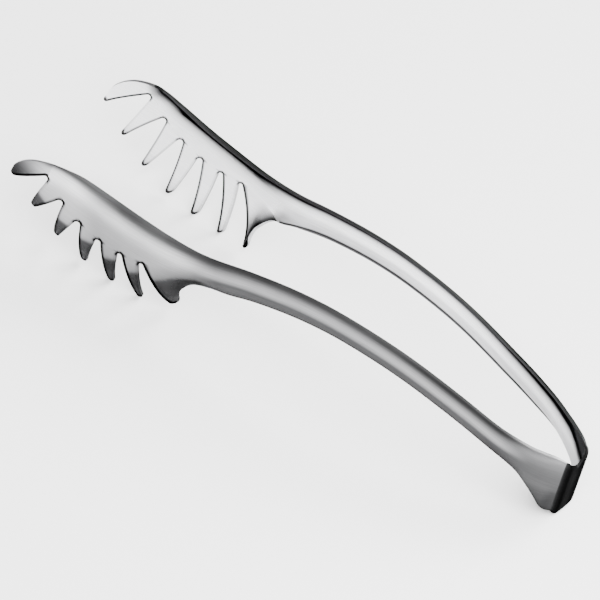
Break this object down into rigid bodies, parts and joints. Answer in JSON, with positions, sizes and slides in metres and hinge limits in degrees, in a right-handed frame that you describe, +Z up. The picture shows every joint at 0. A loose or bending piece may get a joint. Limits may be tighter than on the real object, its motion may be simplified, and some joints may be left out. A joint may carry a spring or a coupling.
{
  "type": "spaghetti tongs",
  "caption": "Sprung kitchen tongs for pasta: two arched channel arms on a squared tail bow, each ending in a curved scoop with blunt teeth.",
  "frame": {"origin": "on the table under the middle of the bounding box, tooth tips and tail standing at z = 0", "axes": "+X from the head to the tail, +Y from the left arm to the right arm, +Z up"},
  "size_m": [0.2826, 0.0642, 0.0599],
  "materials": {
    "arm_steel": "satin",
    "bow_steel": "satin"
  },
  "bodies": {
    "bow": {"tail_bow": "bow_steel"},
    "left_side": {"left_arm": "arm_steel"},
    "right_side": {"right_arm": "arm_steel"}
  },
  "joints": [
    {"name": "right_arm_flex", "type": "hinge", "parent": "bow", "child": "right_side", "pos_m": [0.13712, 0.00608, 0.02717], "axis": [0.2538, 0, 0.9673], "range_deg": [-2, 5.6], "stiffness_Nm_per_rad": 6},
    {"name": "left_arm_flex", "type": "hinge", "parent": "bow", "child": "left_side", "pos_m": [0.13712, -0.00608, 0.02717], "axis": [-0.2538, 0, -0.9673], "range_deg": [-2, 5.6], "stiffness_Nm_per_rad": 6}
  ],
  "couplings": [
    {"joint": "left_arm_flex", "follows": "right_arm_flex", "ratio": 1}
  ]
}
